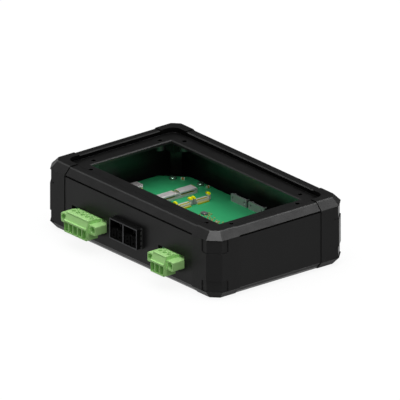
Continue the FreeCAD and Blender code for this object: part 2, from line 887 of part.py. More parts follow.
for label, centre, poles in blocks:
    save(label + "_plug_housing", [make_plug(centre, poles)])
    contacts = []
    for number, x in enumerate(spots(centre, poles)):
        shank = rod_z(x, clamp_axis, bar_low + bar_sheet + clamp_tip_gap, clamp_head_low + overlap,
                      clamp_shank_radius)
        head = rod_z(x, clamp_axis, clamp_head_low, clamp_head_high, clamp_head_radius)
        slot = box(x - pitch / 2, x + pitch / 2, clamp_axis - clamp_slot / 2, clamp_axis + clamp_slot / 2,
                   clamp_head_high - clamp_slot_depth, clamp_head_high + away)
        save("%s_clamp_screw_%d" % (label, number + 1), [without(joined([head, shank]), [slot])])
        half = entry_width / 2 - cage_side_play
        front = chamber_front + cage_side_play
        back = chamber_back - cage_side_play
        low = entry_low + cage_floor_gap
        cage = box(x - half, x + half, front, back, low, cage_top)
        hollow = box(x - half + cage_sheet, x + half - cage_sheet, front - away, back + away,
                     low + cage_sheet, cage_top - cage_top_sheet)
        hole = rod_z(x, clamp_axis, cage_top - cage_top_sheet - away, cage_top + away,
                     clamp_shank_radius + clamp_thread_play)
        save("%s_clamp_cage_%d" % (label, number + 1), [without(cage, [hollow, hole])])
        tip = cavity_back - nose_back_gap
        web_front = chamber_back + contact_web_front
        web_back = chamber_back + contact_web_back
        bar = box(x - bar_half, x + bar_half, chamber_front + bar_front_gap, web_back,
                  bar_low, bar_low + bar_sheet)
        gap = pin_size / 2 + pin_play
        web = box(x - bar_half, x + bar_half, web_front, web_back,
                  bar_low, pin_height + gap + leaf_sheet)
        upper = box(x - bar_half, x + bar_half, web_front, tip - leaf_end_gap,
                    pin_height + gap, pin_height + gap + leaf_sheet)
        lower = box(x - bar_half, x + bar_half, web_front, tip - leaf_end_gap,
                    pin_height - gap - leaf_sheet, pin_height - gap)
        contacts.append(joined([bar, web, upper, lower]))
    save(label + "_plug_contacts", contacts)
    for side, x in zip(("left", "right"), flange_spots(centre, poles)):
        head = rod_y(x, pin_height, flange_seat - flange_head_length - flange_screw_end_gap,
                     flange_seat - flange_screw_end_gap,
                     flange_head_radius)
        screw_end = header_front + nut_set_back + flange_screw_engagement
        shank = rod_y(x, pin_height, flange_seat - overlap, screw_end,
                      nut_hole_radius - flange_screw_play)
        slot = box(x - counterbore_radius, x + counterbore_radius, flange_seat - flange_head_length - away,
                   flange_seat - flange_head_length + flange_slot_depth,
                   pin_height - flange_slot / 2, pin_height + flange_slot / 2)
        save("%s_flange_screw_%s" % (label, side), [without(joined([head, shank]), [slot])])

# Signal connector
signal_cell_back = lever_back + lever_press + lever_end_gap
sx = signal_half_x
shell_box = box(-sx, sx, header_front, signal_back, board_top, signal_top)
nose_box = box(-sx, sx, signal_front, header_front + overlap, signal_nose_low, signal_top)
nose_box = rounded(nose_box, signal_nose_round, V(0, 1, 0))
collar = box(-sx - collar_step, sx + collar_step, collar_front, -outer_y - collar_wall_gap,
             signal_nose_low - collar_step, signal_top + collar_step)
waste = []
for k in range(collar_notches):
    x = (k - (collar_notches - 1) / 2) * collar_notch_pitch
    waste.append(box(x - collar_notch / 2, x + collar_notch / 2, collar_front - away,
                     collar_front + collar_notch_length, signal_top, signal_top + away))
for k in range(side_notches):
    z = board_top + side_notch_first + k * side_notch_pitch
    for side in (1, -1):
        waste.append(box(side * sx, side * (sx + away), collar_front - away,
                         collar_front + collar_notch_length,
                         z - side_notch_half, z + side_notch_half))
collar = without(collar, waste)
signal = joined([shell_box, nose_box, collar])
waste = []
webs = []
cell_high = signal_top - signal_rim
for side in (1, -1):
    waste.append(box(side * cell_in, side * cell_out, signal_front - away, signal_cell_back,
                     signal_cell_low, cell_high))
    middle = side * cell_middle
    webs.append(box(middle - web_thickness / 2, middle + web_thickness / 2, signal_front + web_front_inset,
                    signal_cell_back + overlap, signal_cell_low - overlap, lever_high + web_rise))
    webs.append(box(middle - web_thickness / 2, middle + web_thickness / 2,
                    signal_front + wire_web_inset, signal_cell_back + overlap,
                    lever_high, cell_high + overlap))
contact_slots = []
for x in lever_places:
    slot_half = signal_pin / 2 + signal_pin_play
    contact_slots.append(box(x - slot_half, x + slot_half, signal_cell_back - away,
                             signal_leg_y + slot_half, signal_pin_height - slot_half,
                             signal_pin_height + slot_half))
    contact_slots.append(box(x - slot_half, x + slot_half, signal_leg_y - slot_half,
                             signal_leg_y + slot_half, board_top - away,
                             signal_pin_height + slot_half))
signal = joined([signal.cut(waste)] + webs)
signal = without(signal, contact_slots)
save("signal_connector_housing", [signal])

contacts = []
for number, x in enumerate(lever_places):
    jaw = box(x - jaw_half, x + jaw_half, signal_cell_back - jaw_depth,
              signal_cell_back - jaw_back_gap, jaw_low, jaw_high)
    jaw = jaw.cut(box(x - jaw_half + jaw_rim, x + jaw_half - jaw_rim, signal_cell_back - away,
                      signal_cell_back - jaw_back_gap - jaw_sheet,
                      jaw_low + 2 * jaw_rim, jaw_high - jaw_rim))
    pin = signal_pin / 2
    tail = box(x - pin, x + pin, signal_cell_back - jaw_sheet, signal_leg_y + pin,
               signal_pin_height - pin, signal_pin_height + pin)
    leg = box(x - pin, x + pin, signal_leg_y - pin, signal_leg_y + pin,
              board_underside - leg_length, signal_pin_height + pin)
    contacts.append(joined([jaw, tail, leg]))
    half = lever_width / 2
    face_top = lever_front + lever_slant
    side_view = [(lever_front + lever_toe, lever_low), (lever_front, lever_low + lever_toe),
                 (lever_front, lever_slant_start), (face_top, lever_high),
                 (lever_back, lever_high), (lever_back, lever_low)]
    lever = prism_x(side_view, x - half, x + half)
    ring = rod_y(x, ring_z, lever_front - ring_proud, lever_front + overlap, ring_radius)
    lever = joined([lever, ring])
    lever = without(lever, [rod_y(x, test_hole_z, lever_front - away, lever_front + test_hole_depth,
                                  test_hole_radius),
                            rod_y(x, ring_z, lever_front - away, lever_front + ring_bore_depth,
                                  ring_bore)])
    save("signal_release_lever_%d" % (number + 1), [lever])
save("signal_contacts", contacts)

# Card sockets
top = board_top
gold = []
for label, centre in (("left", tall_left_centre), ("right", tall_right_centre)):
    y0 = centre - tall_length / 2
    y1 = centre + tall_length / 2
    back = tall_front - tall_depth
    high = top + tall_height
    body = box(back, tall_front, y0, y1, top, high)
    body = eased(body, tall_top_ease, V(0, 1, 0), lambda p: p.z > high - tall_top_ease)
    body = rounded(body, tall_corner_round, V(0, 0, 1), lambda p: p.x > tall_front - tall_corner_round)
    waste = [box(tall_front - tall_slot_depth, tall_front + away, y0 + tall_slot_end,
                 y1 - tall_slot_end, top + tall_slot_low, top + tall_slot_high)]
    for k in range(3):
        x = back + tall_groove_first + k * tall_groove_pitch
        waste.append(box(x - tall_groove_width / 2, x + tall_groove_width / 2, y0 + tall_groove_end,
                         y1 - tall_groove_end, high - tall_groove_depth, high + away))
    ears = []
    strip_back = back + tall_end_back
    strip_front = tall_front - tall_end_front
    for side, y in ((-1, y0), (1, y1)):
        waste.append(box(strip_back, strip_front, y - side * tall_end_cut, y + side * tall_end_cut,
                         high - tall_end_cut_depth, high + away))
        ears.append(box(tall_front - tall_ear_front - tall_ear_length, tall_front - tall_ear_front,
                        y - side * overlap, y + side * tall_ear_reach, top, top + tall_ear_foot))
        ears.append(box(tall_front - tall_ear_front - tall_ear_length, tall_front - tall_ear_front,
                        y + side * tall_ear_inset, y + side * tall_ear_reach,
                        top, top + tall_ear_height))
        gold.append(box(strip_back + tall_strip_inset, strip_front - tall_strip_inset, y,
                        y - side * tall_strip_sheet, high - tall_end_cut_depth + tall_strip_inset,
                        high + tall_strip_proud))
    save("tall_card_socket_" + label, [without(joined([body] + ears), waste)])
    count = int((tall_length - 2 * tall_slot_end) / contact_pitch)
    first = centre - (count - 1) * contact_pitch / 2
    contact_end = tall_front - tall_contact_front
    for i in range(count):
        y = first + i * contact_pitch
        gold.append(box(contact_end - tall_contact_length, contact_end, y - contact_width / 2,
                        y + contact_width / 2, top + tall_slot_low,
                        top + tall_slot_low + tall_contact_sheet))
save("tall_socket_contacts", gold)

gold = []
for label, centre in (("left", low_left_centre), ("right", low_right_centre)):
    y0 = centre - low_length / 2
    y1 = centre + low_length / 2
    back = low_front - low_depth
    high = top + low_height
    trough = high - low_trough_depth
    trough_front = low_front - low_trough_front
    trough_back = trough_front - low_trough_length
    body = box(back, low_front, y0, y1, top, high)
    body = eased(body, low_top_ease, V(0, 1, 0), lambda p: p.z > high - low_top_ease)
    body = without(body, [box(trough_back, trough_front, y0 + low_trough_end,
                              y1 - low_trough_end, trough, high + away)])
    save("low_card_socket_" + label, [body])
    count = int((low_length - 2 * low_trough_end) / contact_pitch)
    first = centre - (count - 1) * contact_pitch / 2
    half = low_contact_width / 2
    for i in range(count):
        y = first + i * contact_pitch
        gold.append(box(trough_back + low_contact_inset, trough_front - low_contact_inset,
                        y - half, y + half, trough, high + low_contact_inset))
        gold.append(box(low_front, low_front + low_tail_length, y - half, y + half,
                        top, top + low_tail_sheet))
save("low_socket_contacts", gold)

number = 0
for centre in (low_left_centre, low_right_centre):
    for side in (-1, 1):
        number += 1
        y = centre + side * latch_spacing / 2
        y0 = y - latch_width / 2
        y1 = y + latch_width / 2
        pivot_z = top + latch_pivot_rise
        foot = rod_y(latch_x, pivot_z, y0, y1, latch_foot_radius)
        high = top + latch_height
        front = latch_x + latch_front_reach
        back = latch_x - latch_head_length
        heel = latch_x - latch_foot_radius
        outline = [(heel, pivot_z), (front, pivot_z), (front, high - latch_nose_drop)]
        outline += [(front - latch_nose_set_back, high), (back + latch_beak_slope, high)]
        outline += [(back, high - latch_beak_drop), (back + latch_beak_slope, high - latch_head_height)]
        outline += [(heel, high - latch_head_height - latch_throat)]
        arm = prism_y(outline, y0, y1)
        save("card_latch_%d" % number, [joined([foot, arm])])

back = side_socket_back
x0 = side_socket_x
x1 = x0 + side_socket_depth
high = top + side_socket_height
body = box(x0, x1, back - side_socket_length, back, top, high)
body = eased(body, side_top_ease, V(0, 1, 0), lambda p: p.z > high - side_top_ease)
body = eased(body, side_corner_ease, V(0, 0, 1), lambda p: p.x > x1 - side_corner_ease)
waste = []
for k in range(3):
    x = x0 + side_groove_first + k * side_groove_pitch
    waste.append(box(x - side_groove_width / 2, x + side_groove_width / 2,
                     back - side_socket_length + side_groove_end, back - side_groove_end,
                     high - side_groove_depth, high + away))
save("side_socket", [without(body, waste)])
gold = []
for i in range(side_contacts):
    y = back - side_contact_first - i * side_contact_pitch
    half = side_contact_width / 2
    gold.append(box(x1, x1 + side_contact_length, y - half, y + half,
                    top, top + side_contact_sheet))
save("side_socket_contacts", gold)

# Chip and small board parts
chip_low = top + chip_stand_off
chip_high = chip_low + chip_thickness
chip = box(chip_x - chip_length / 2, chip_x + chip_length / 2,
           chip_y - chip_width / 2, chip_y + chip_width / 2, chip_low, chip_high)
chip = rounded(chip, chip_corner_round, V(0, 0, 1))
chip = eased(chip, chip_top_ease, V(1, 0, 0), lambda p: p.z > chip_high - chip_top_ease)
save("driver_chip", [chip])


def block_at(x, y, turn, length, width, height):
    shape = box(-length / 2, length / 2, -width / 2, width / 2, 0, height)
    shape.rotate(V(0, 0, 0), V(0, 0, 1), turn)
    shape.translate(V(x, y, top))
    return shape


capacitor_places = [(-corner_screw_x + 4.0, corner_screw_y + 3.7, 45.0)]
capacitor_places += [(-back_screw_x + 5.8, back_screw_y + 0.3, 90.0)]
save("capacitors", [block_at(x, y, turn, capacitor_length, capacitor_width, capacitor_height)
                    for x, y, turn in capacitor_places])
small_places = [(-76, 92, 0), (-45, 106, 0), (-63, 147, 0), (-42, 145, 90), (-41, 86, 0)]
small_places += [(-20, 102, 90), (-24, 81, 0), (-6, 89, 90), (1, 106, 0), (9, 84, 0)]
small_places += [(23, 100, 90), (11, 124, 0), (34, 87, 0), (46, 80, 0), (89, 119, 90)]
small_places += [(46, 109, 90), (69, 110, 0), (-29, 122, 0), (59, 89, 90), (-42, 125, 90)]
save("small_passives", [block_at(x * layout_grid, y * layout_grid, turn, passive_length,
                                 passive_width, passive_height) for x, y, turn in small_places])
save("output_capacitor", [block_at(76 * layout_grid, 89 * layout_grid, 0.0, capacitor_length,
                                   capacitor_width, output_capacitor_height)])

# Shield plates
plates = []
for start in plate_starts:
    end = start + plate_length
    high = top + plate_height
    plate_back = plate_y + plate_sheet
    plate = box(start, end, plate_y, plate_back, top, high)
    plate = eased(plate, plate_corner, V(0, 1, 0), lambda p: p.z > high - plate_corner)
    tabs = [box(start + along, start + along + width, plate_back - overlap, plate_back + reach,
                high - plate_lip_drop, high - plate_lip_drop + plate_lip_sheet)
            for along, width, reach in plate_lips]
    foot = box(start + plate_foot_inset, end - plate_foot_inset, plate_back - overlap,
               plate_back + plate_foot_length, top, top + plate_foot_sheet)
    holes = [rod_y(x, top + plate_hole_rise, plate_y - away, plate_back + away,
                   plate_hole_radius)
             for x in (start + plate_hole_inset, end - plate_hole_inset)]
    plates.append(without(joined([plate, foot] + tabs), holes))
save("shield_plates", plates)
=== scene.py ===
import math
import bpy
import bmesh
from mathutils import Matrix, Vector


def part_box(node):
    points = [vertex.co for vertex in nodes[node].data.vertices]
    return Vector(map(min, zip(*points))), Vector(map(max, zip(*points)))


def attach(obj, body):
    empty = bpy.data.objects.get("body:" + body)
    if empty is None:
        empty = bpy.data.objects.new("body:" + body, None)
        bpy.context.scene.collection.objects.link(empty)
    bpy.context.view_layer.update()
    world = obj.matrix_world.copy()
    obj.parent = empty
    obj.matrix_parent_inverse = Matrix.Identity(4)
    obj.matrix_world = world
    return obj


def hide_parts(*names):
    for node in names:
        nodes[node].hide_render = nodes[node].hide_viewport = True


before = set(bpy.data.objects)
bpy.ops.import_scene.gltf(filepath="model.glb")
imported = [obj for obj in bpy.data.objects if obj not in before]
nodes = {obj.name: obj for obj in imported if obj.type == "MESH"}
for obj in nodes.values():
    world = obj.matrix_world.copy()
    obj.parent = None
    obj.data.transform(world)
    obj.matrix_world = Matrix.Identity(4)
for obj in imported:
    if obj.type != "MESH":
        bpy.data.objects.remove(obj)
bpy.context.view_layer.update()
mm = 0.001
print("frame loaded:", len(nodes), "nodes")


def grey(level):
    return (level, level, level)


def addNode(tree, kind, **settings):
    made = tree.nodes.new(kind)
    for key, value in settings.items():
        setattr(made, key, value)
    return made


def feed(tree, value, socket):
    # another node's output is linked, and a plain value is written on the socket
    if isinstance(value, bpy.types.NodeSocket):
        tree.links.new(value, socket)
    elif isinstance(value, tuple):
        socket.default_value = (*value, 1)
    else:
        socket.default_value = value


def worked(tree, operation, first, second=0.0):
    # one step of arithmetic
    step = addNode(tree, "ShaderNodeMath", operation=operation)
    feed(tree, first, step.inputs[0])
    feed(tree, second, step.inputs[1])
    return step.outputs[0]


# a mix node's sockets for its mask, both values and the result
mixSockets = {"FLOAT": (0, 2, 3, 0), "RGBA": (0, 6, 7, 2)}


def mixed(tree, mask, first, second, kind="RGBA"):
    # blends two colours, or two numbers where the kind is FLOAT
    made = addNode(tree, "ShaderNodeMix", data_type=kind)
    *places, result = mixSockets[kind]
    for place, value in zip(places, (mask, first, second)):
        feed(tree, value, made.inputs[place])
    return made.outputs[result]


def ramp(tree, value, low, high, start=0.3, end=0.7):
    # low where the value is at start or under, high from its end on
    made = addNode(tree, "ShaderNodeMapRange")
    for socket, given in (("Value", value), ("From Min", start), ("From Max", end),
                          ("To Min", low), ("To Max", high)):
        feed(tree, given, made.inputs[socket])
    return made.outputs["Result"]


class Finish:
    # a node material with a drifting colour, an uneven polish and a fine grain
    def __init__(self, name, look):
        self.material = bpy.data.materials.new(name)
        self.material.use_nodes = True
        self.tree = self.material.node_tree
        self.shader = self.tree.nodes["Principled BSDF"]
        self.wear("Base Color", look["colour"])
        self.wear("Roughness", look["roughness"])
        self.wear("Metallic", look.get("metallic", 0.0))
        self.wear("Specular IOR Level", look.get("specular", 0.5))
        self.place = addNode(self.tree, "ShaderNodeTexCoord").outputs["Object"]
        self.shade = self.mottle(look["colour"], *look["mottle"])
        if "polish" in look:
            self.polish(look["roughness"], *look["polish"])
        self.grain(*look["grain"])

    def wear(self, socket, value):
        feed(self.tree, value, self.shader.inputs[socket])

    def axes(self):
        split = addNode(self.tree, "ShaderNodeSeparateXYZ")
        feed(self.tree, self.place, split.inputs["Vector"])
        return split.outputs

    def noise(self, size, detail):
        # size is the grain in metres
        made = addNode(self.tree, "ShaderNodeTexNoise")
        made.inputs["Scale"].default_value = 1.0 / size
        made.inputs["Detail"].default_value = detail
        feed(self.tree, self.place, made.inputs["Vector"])
        return made.outputs["Fac"]

    def mottle(self, colour, size, spread):
        # the colour drifts a little lighter and darker over the surface
        low = tuple(part * (1 - spread) for part in colour)
        high = tuple(min(1.0, part * (1 + spread)) for part in colour)
        shade = mixed(self.tree, ramp(self.tree, self.noise(size, detail=4), 0, 1), low, high)
        self.wear("Base Color", shade)
        return shade

    def polish(self, roughness, size, spread):
        varied = ramp(self.tree, self.noise(size, detail=3), roughness - spread, roughness + spread)
        self.wear("Roughness", varied)

    def grain(self, size, height, strength):
        bump = addNode(self.tree, "ShaderNodeBump")
        bump.inputs["Strength"].default_value = strength
        bump.inputs["Distance"].default_value = height
        feed(self.tree, self.noise(size, detail=2), bump.inputs["Height"])
        self.wear("Normal", bump.outputs["Normal"])


def addObject(name, data):
    made = bpy.data.objects.new(name, data)
    bpy.context.scene.collection.objects.link(made)
    return made


def dress(name, material):
    nodes[name].data.materials.clear()
    nodes[name].data.materials.append(material)


edgeLook = {"weld": 0.01 * mm, "flatAngle": 0.8, "sharpAngle": 32}


def soften(name, width, segments=2):
    # rounds the sharp edges of a moulding by a small width
    weld = nodes[name].modifiers.new("weld", "WELD")
    weld.merge_threshold = edgeLook["weld"]
    flat = nodes[name].modifiers.new("flat", "DECIMATE")
    flat.decimate_type = "DISSOLVE"
    flat.angle_limit = math.radians(edgeLook["flatAngle"])
    rim = nodes[name].modifiers.new("rim", "BEVEL")
    rim.width = width
    rim.segments = segments
    rim.limit_method = "ANGLE"
    rim.angle_limit = math.radians(edgeLook["sharpAngle"])


# the case: shell, top frame and corner caps in black moulded plastic
caseLook = {"roughness": 0.36, "mottle": (30 * mm, 0.06), "polish": (8 * mm, 0.04),
            "grain": (0.35 * mm, 0.02 * mm, 0.25)}
shellLook = {"colour": grey(0.0095), "specular": 0.12}
frameLook = {"colour": grey(0.003), "specular": 0.07, "edge": 0.35 * mm, "edgeSegments": 3}
# the caps are one plastic, written lighter on the sides and darker on the top slope: painted light
# and shade
capLook = {"colour": grey(0.022), "specular": 0.07, "edge": 0.2 * mm,
           "slopeHeight": 34.6 * mm, "slopeBlur": 0.1 * mm}
# the foot is duller, and a painted highlight makes the outer edge of the rim a little lighter
footLook = {"height": 4.25 * mm, "blur": 0.1 * mm, "specular": 0.02}
edgeHighlightLook = {"reach": (68.75 * mm, 42.45 * mm), "frameHeight": 37.95 * mm, "capHeight": 38.45 * mm,
           "blur": 0.05 * mm, "colour": grey(0.034)}

# inside, the moulding is smoother, and the frame's zones also carry painted shade and painted light:
# half length and half width of each hollow
hollow = {"walls": (70.4 * mm, 44.1 * mm), "recess": (64.65 * mm, 37.85 * mm),
          "window": (56 * mm, 29 * mm), "blur": 0.01 * mm}
shellInside = {
    "innerWall": {"reach": hollow["walls"], "low": 0.0, "high": 40 * mm,
                  "blur": 0.01 * mm, "specular": 0.25, "colour": grey(0.009)},
    "upperWall": {"reach": hollow["walls"], "low": 20 * mm, "high": 40 * mm,
                  "blur": 3 * mm, "specular": 1.0, "colour": grey(0.006)}}
frameInside = {
    # painted shade: the screw holes are written near black and without shine
    "screwHoles": {"reach": hollow["recess"], "low": 0.0, "high": 35.9 * mm,
                   "blur": 0.02 * mm, "specular": 0.0, "colour": grey(0.001)},
    "windowWall": {"reach": hollow["window"], "low": 0.0, "high": 35.5 * mm,
                   "blur": 0.01 * mm, "specular": 0.8, "colour": grey(0.006)},
    "windowEdge": {"reach": hollow["window"], "low": 35.5 * mm, "high": 36.2 * mm,
                   "blur": 0.01 * mm, "specular": 0.09, "colour": grey(0.006)},
    # painted light: the underside is written much lighter than the frame's top
    "underside": {"reach": hollow["walls"], "low": 0.0, "high": 34.15 * mm,
                  "blur": 0.01 * mm, "specular": 1.0, "colour": grey(0.025)},
    "recessWall": {"reach": hollow["recess"], "low": 36.25 * mm, "high": 38.3 * mm,
                   "blur": 0.2 * mm, "specular": 0.0, "colour": grey(0.004)}}


def makeCasePlastic(name, look):
    finish = Finish(name, {**caseLook, **look})
    axes = finish.axes()
    finish.sides = [worked(finish.tree, "ABSOLUTE", axes[letter]) for letter in "XY"]
    finish.height = axes["Z"]
    return finish


def insideHollow(finish, zone):
    # 1 inside the hollow and 0 outside, with a soft top and bottom
    tree = finish.tree
    low, high, blur = zone["low"], zone["high"], zone["blur"]
    mask = ramp(tree, finish.height, 0, 1, low - blur, low + blur)
    limits = [(finish.height, high, blur)]
    for side, reach in zip(finish.sides, zone["reach"]):
        limits.append((side, reach, hollow["blur"]))
    for value, reach, soft in limits:
        mask = worked(tree, "MINIMUM", mask, ramp(tree, value, 1, 0, reach - soft, reach + soft))
    return mask


def smoothInsideWithPaintedLight(finish, outside, zones):
    # the moulding is textured outside and smoother, so shinier, inside; each zone also gets its own
    # colour, with painted shade in the frame's screw holes and painted light on its underside
    tree = finish.tree
    footHeight = footLook["height"]
    shine = ramp(tree, finish.height, footLook["specular"], outside,
                 footHeight - footLook["blur"], footHeight)
    for zone in zones.values():
        mask = insideHollow(finish, zone)
        shine = mixed(tree, mask, shine, zone["specular"], "FLOAT")
        finish.shade = mixed(tree, mask, finish.shade, zone["colour"])
    finish.wear("Specular IOR Level", shine)
    finish.wear("Base Color", finish.shade)


def paintEdgeHighlight(finish, start):
    # start is the height from which the outer edge gets its painted highlight
    tree = finish.tree
    blur = edgeHighlightLook["blur"]
    sides = [ramp(tree, side, 0, 1, reach - blur, reach + blur)
             for side, reach in zip(finish.sides, edgeHighlightLook["reach"])]
    high = ramp(tree, finish.height, 0, 1, start - blur, start + blur)
    mask = worked(tree, "MINIMUM", worked(tree, "MAXIMUM", *sides), high)
    finish.shade = mixed(tree, mask, finish.shade, edgeHighlightLook["colour"])


def makeShellPlastic():
    finish = makeCasePlastic("shellPlastic", shellLook)
    smoothInsideWithPaintedLight(finish, shellLook["specular"], shellInside)
    return finish.material


def makeFramePlastic():
    finish = makeCasePlastic("framePlastic", frameLook)
    paintEdgeHighlight(finish, edgeHighlightLook["frameHeight"])
    smoothInsideWithPaintedLight(finish, frameLook["specular"], frameInside)
    return finish.material


def makeCapPlastic():
    # the slope at the top has the frame's colour: painted shade makes it darker than the cap's
    # lighter sides
    finish = makeCasePlastic("capPlastic", capLook)
    height = capLook["slopeHeight"]
    slope = ramp(finish.tree, finish.height, 0, 1, height - capLook["slopeBlur"], height)
    finish.shade = mixed(finish.tree, slope, finish.shade, frameLook["colour"])
    paintEdgeHighlight(finish, edgeHighlightLook["capHeight"])
    smoothInsideWithPaintedLight(finish, capLook["specular"], {})
    return finish.material


dress("base_shell", makeShellPlastic())
dress("top_frame", makeFramePlastic())
soften("top_frame", frameLook["edge"], frameLook["edgeSegments"])
capPlastic = makeCapPlastic()
for name in nodes:
    if name.startswith("corner_cap"):
        dress(name, capPlastic)
        soften(name, capLook["edge"])
print("case done")

# the green board under its lacquer
boardLook = {"colour": (0.037, 0.38, 0.15), "roughness": 0.42, "specular": 0.06,
             "mottle": (6 * mm, 0.03), "polish": (3 * mm, 0.03),
             "grain": (0.5 * mm, 0.01 * mm, 0.2)}
dress("main_board", Finish("boardMask", boardLook).material)

# bare metal: screws, cages, pins, contacts and shield plates
metalLook = {"metallic": 1.0, "mottle": (1.5 * mm, 0.06), "polish": (0.8 * mm, 0.05),
             "grain": (0.2 * mm, 0.01 * mm, 0.3)}
metals = {"screwSteel": {"colour": (0.36, 0.37, 0.36), "roughness": 0.4},
          # the board screws are tinted green: a painted reflection of the green board
          "boardScrewPaintedReflection": {"colour": (0.11, 0.23, 0.16), "roughness": 0.24, "metallic": 0.4},
          # the clamp screws are tinted green: a painted reflection of the green plug around them
          "clampScrewPaintedReflection": {"colour": (0.28, 0.38, 0.24), "roughness": 0.7, "metallic": 0.3},
          "cageMetal": {"colour": (0.74, 0.92, 0.56), "roughness": 0.6, "metallic": 0.2,
                        "grain": (0.15 * mm, 0.01 * mm, 0.3)},
          "tinPlate": {"colour": (0.72, 0.70, 0.62), "roughness": 0.35,
                       "grain": (0.15 * mm, 0.01 * mm, 0.3)},
          "shieldMetal": {"colour": (0.3, 0.33, 0.32), "roughness": 0.5, "metallic": 0.35,
                          "grain": (0.3 * mm, 0.01 * mm, 0.3)},
          "solderTin": {"colour": (0.8, 0.8, 0.74), "roughness": 0.42,
                        "grain": (0.1 * mm, 0.01 * mm, 0.3)}}
goldLook = {"colour": (0.46, 0.45, 0.006), "roughness": 0.42, "metallic": 1.0,
            "mottle": (0.8 * mm, 0.1), "grain": (0.1 * mm, 0.01 * mm, 0.3)}
metalOf = {"flange_screw": "screwSteel", "clamp_screw": "clampScrewPaintedReflection",
           "board_screws": "boardScrewPaintedReflection", "clamp_cage": "cageMetal",
           "header_pins": "tinPlate", "flange_nuts": "tinPlate",
           "plug_contacts": "tinPlate", "signal_contacts": "tinPlate",
           "socket_contacts": "contactGold", "shield_plates": "shieldMetal"}


def makeMetals():
    made = {}
    for name, look in metals.items():
        made[name] = Finish(name, {**metalLook, **look}).material
    made["contactGold"] = Finish("contactGold", goldLook).material
    return made


metalFinishes = makeMetals()
for name in nodes:
    for part, metal in metalOf.items():
        if part in name:
            dress(name, metalFinishes[metal])
print("board and metal done")

# light green plugs and headers
plugLook = {"colour": (0.44, 0.80, 0.285), "roughness": 0.45, "specular": 0.25,
            "mottle": (5 * mm, 0.03), "polish": (3 * mm, 0.04),
            "grain": (0.3 * mm, 0.015 * mm, 0.25), "edge": 0.12 * mm}
plugPlastic = Finish("plugPlastic", plugLook).material
for name in nodes:
    if name.endswith(("plug_housing", "header_housing")):
        dress(name, plugPlastic)
        soften(name, plugLook["edge"])
print("terminal blocks done")

# the black signal connector and its levers
signalLook = {"mottle": (4 * mm, 0.08), "polish": (2 * mm, 0.05),
              "grain": (0.25 * mm, 0.015 * mm, 0.3)}
signalShellLook = {"colour": grey(0.006), "roughness": 0.35, "specular": 0.06,
                   # rim is a painted highlight on the front rim and divider, side is painted light
                   # on the end faces
                   "rim": (0.09, 0.09, 0.095), "side": grey(0.07), "paintedLightDepth": 0.06 * mm}
leverLook = {"colour": grey(0.003), "roughness": 0.4, "specular": 0.01}


def makeSignalShell():
    # painted highlight: the front rim and the divider are painted grey, and painted light makes the
    # end faces a little lighter
    finish = Finish("signalShell", {**signalLook, **signalShellLook})
    tree = finish.tree
    low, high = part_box("signal_connector_housing")
    depth = signalShellLook["paintedLightDepth"]
    axes = finish.axes()
    rim = ramp(tree, axes["Y"], 1, 0, low[1] + depth, low[1] + 2 * depth)
    side = ramp(tree, worked(tree, "ABSOLUTE", axes["X"]), 0, 1,
                high[0] - 2 * depth, high[0] - depth)
    shade = mixed(tree, side, finish.shade, signalShellLook["side"])
    shade = mixed(tree, rim, shade, signalShellLook["rim"])
    finish.wear("Base Color", shade)
    return finish.material


dress("signal_connector_housing", makeSignalShell())
leverPlastic = Finish("leverPlastic", {**signalLook, **leverLook}).material
for name in nodes:
    if name.startswith("signal_release_lever"):
        dress(name, leverPlastic)
print("signal connector done")

# card sockets, and latches with yellow tips
socketLook = {"colour": (0.52, 0.5, 0.5), "roughness": 0.5, "specular": 0.25,
              "mottle": (2 * mm, 0.04), "grain": (0.2 * mm, 0.01 * mm, 0.3)}
latchLook = {"colour": (0.4, 0.4, 0.41), "roughness": 0.5, "specular": 0.08,
             "mottle": (1.5 * mm, 0.05), "grain": (0.2 * mm, 0.01 * mm, 0.3),
             "tip": (0.9, 0.85, 0.0), "tipHeight": 15.25 * mm, "tipBlur": 0.05 * mm}


def makeLatchPlastic():
    finish = Finish("latchPlastic", latchLook)
    start, blur = latchLook["tipHeight"], latchLook["tipBlur"]
    tip = ramp(finish.tree, finish.axes()["Z"], 0, 1, start - blur, start + blur)
    finish.wear("Base Color", mixed(finish.tree, tip, finish.shade, latchLook["tip"]))
    return finish.material


socketPlastic = Finish("socketPlastic", socketLook).material
latchPlastic = makeLatchPlastic()
for name in nodes:
    if "card_socket" in name or name == "side_socket":
        dress(name, socketPlastic)
    if name.startswith("card_latch"):
        dress(name, latchPlastic)
print("card sockets done")

# the driver chip, and the ceramic parts with a metal cap over each end
chipLook = {"colour": (0.11, 0.10, 0.105), "roughness": 0.4, "specular": 0.3,
            "mottle": (1 * mm, 0.08), "grain": (0.1 * mm, 0.005 * mm, 0.4)}
ceramicLook = {"roughness": 0.5, "specular": 0.3, "mottle": (0.6 * mm, 0.08),
               "grain": (0.1 * mm, 0.005 * mm, 0.4)}
ceramics = {"ceramicTan": (0.5, 0.27, 0.06), "ceramicGold": (0.36, 0.2, 0.05),
            "ceramicGrey": (0.3, 0.3, 0.32), "padGold": (0.5, 0.4, 0.12)}
smallParts = {"endShare": 0.24, "bodyShrink": 0.06 * mm, "edge": 0.06 * mm,
              "slot": "component_ceramic"}
# how a block is found in its node: welded points, level edges and a real corner in radians
blockSearch = {"weld": 0.002 * mm, "level": 0.01 * mm, "corner": 0.5}


def loosePieces(work):
    # the points of the mesh, one list for each piece that hangs together
    found = set()
    for start in work.verts:
        if start in found:
            continue
        found.add(start)
        piece = [start]
        for vert in piece:
            for edge in vert.link_edges:
                other = edge.other_vert(vert)
                if other not in found:
                    found.add(other)
                    piece.append(other)
        yield piece


def isLevelEdge(edge):
    rise = abs(edge.verts[0].co.z - edge.verts[1].co.z)
    return (len(edge.link_faces) == 2 and edge.calc_face_angle(0) > blockSearch["corner"]
            and rise < blockSearch["level"])


